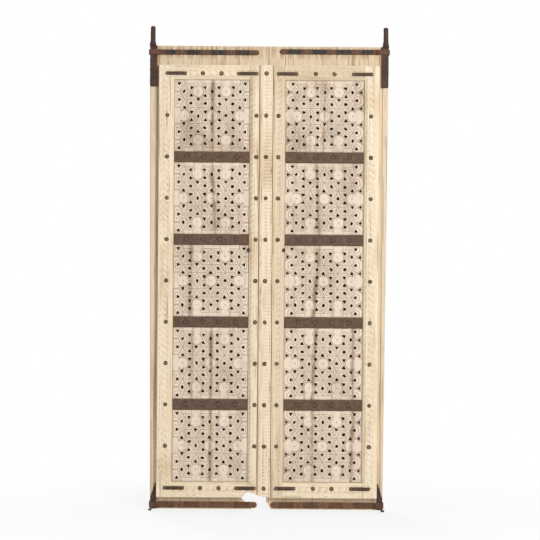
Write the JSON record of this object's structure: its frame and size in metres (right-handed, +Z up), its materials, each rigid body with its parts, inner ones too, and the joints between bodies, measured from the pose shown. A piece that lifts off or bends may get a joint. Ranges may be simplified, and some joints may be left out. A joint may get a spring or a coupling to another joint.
{
  "type": "panel door",
  "caption": "Closed pair of old carved wooden door leaves with pierced star-lattice fields, iron straps, studs and pivots.",
  "frame": {"origin": "centre of the closed pair's bounding box, level with the tips of the bottom pivots", "axes": "+X across the pair from the left leaf to the right one, +Y from the carved face to the back, +Z up"},
  "size_m": [1.042, 0.1024, 2.095],
  "materials": {
    "frame_wood": "worn limewash",
    "panel_wood": "worn limewash",
    "board_wood": "aged, bare",
    "strap_iron": "evenly rusted",
    "forged_iron": "dark, rusted",
    "stud_iron": "dark, rusted"
  },
  "bodies": {
    "left_leaf": {"astragal": "frame_wood", "astragal_studs": "stud_iron", "left_back_ledge_1": "board_wood", "left_back_ledge_2": "board_wood", "left_back_ledge_3": "board_wood", "left_board_1": "board_wood", "left_board_2": "board_wood", "left_board_3": "board_wood", "left_bottom_pivot": "forged_iron", "left_bottom_rail": "frame_wood", "left_bottom_strap": "forged_iron", "left_corner_plates": "stud_iron", "left_cross_strap_1": "strap_iron", "left_cross_strap_2": "strap_iron", "left_cross_strap_3": "strap_iron", "left_cross_strap_4": "strap_iron", "left_frame_studs": "stud_iron", "left_inner_stile": "frame_wood", "left_jali_panel_1": "panel_wood", "left_jali_panel_2": "panel_wood", "left_jali_panel_3": "panel_wood", "left_jali_panel_4": "panel_wood", "left_jali_panel_5": "panel_wood", "left_outer_stile": "frame_wood", "left_pivot_post": "frame_wood", "left_strap_nails": "stud_iron", "left_strap_rivets": "stud_iron", "left_top_pivot": "forged_iron", "left_top_rail": "frame_wood", "left_top_strap": "forged_iron"},
    "right_leaf": {"right_back_ledge_1": "board_wood", "right_back_ledge_2": "board_wood", "right_back_ledge_3": "board_wood", "right_board_1": "board_wood", "right_board_2": "board_wood", "right_board_3": "board_wood", "right_bottom_pivot": "forged_iron", "right_bottom_rail": "frame_wood", "right_bottom_strap": "forged_iron", "right_corner_plates": "stud_iron", "right_cross_strap_1": "strap_iron", "right_cross_strap_2": "strap_iron", "right_cross_strap_3": "strap_iron", "right_cross_strap_4": "strap_iron", "right_frame_studs": "stud_iron", "right_inner_stile": "frame_wood", "right_jali_panel_1": "panel_wood", "right_jali_panel_2": "panel_wood", "right_jali_panel_3": "panel_wood", "right_jali_panel_4": "panel_wood", "right_jali_panel_5": "panel_wood", "right_outer_stile": "frame_wood", "right_pivot_post": "frame_wood", "right_strap_nails": "stud_iron", "right_strap_rivets": "stud_iron", "right_top_pivot": "forged_iron", "right_top_rail": "frame_wood", "right_top_strap": "forged_iron"}
  },
  "joints": [
    {"name": "right_leaf_swing", "type": "hinge", "parent": "left_leaf", "child": "right_leaf", "pos_m": [0.503, -0.00575, 0], "axis": [0, 0, -1], "range_deg": [0, 95]}
  ]
}
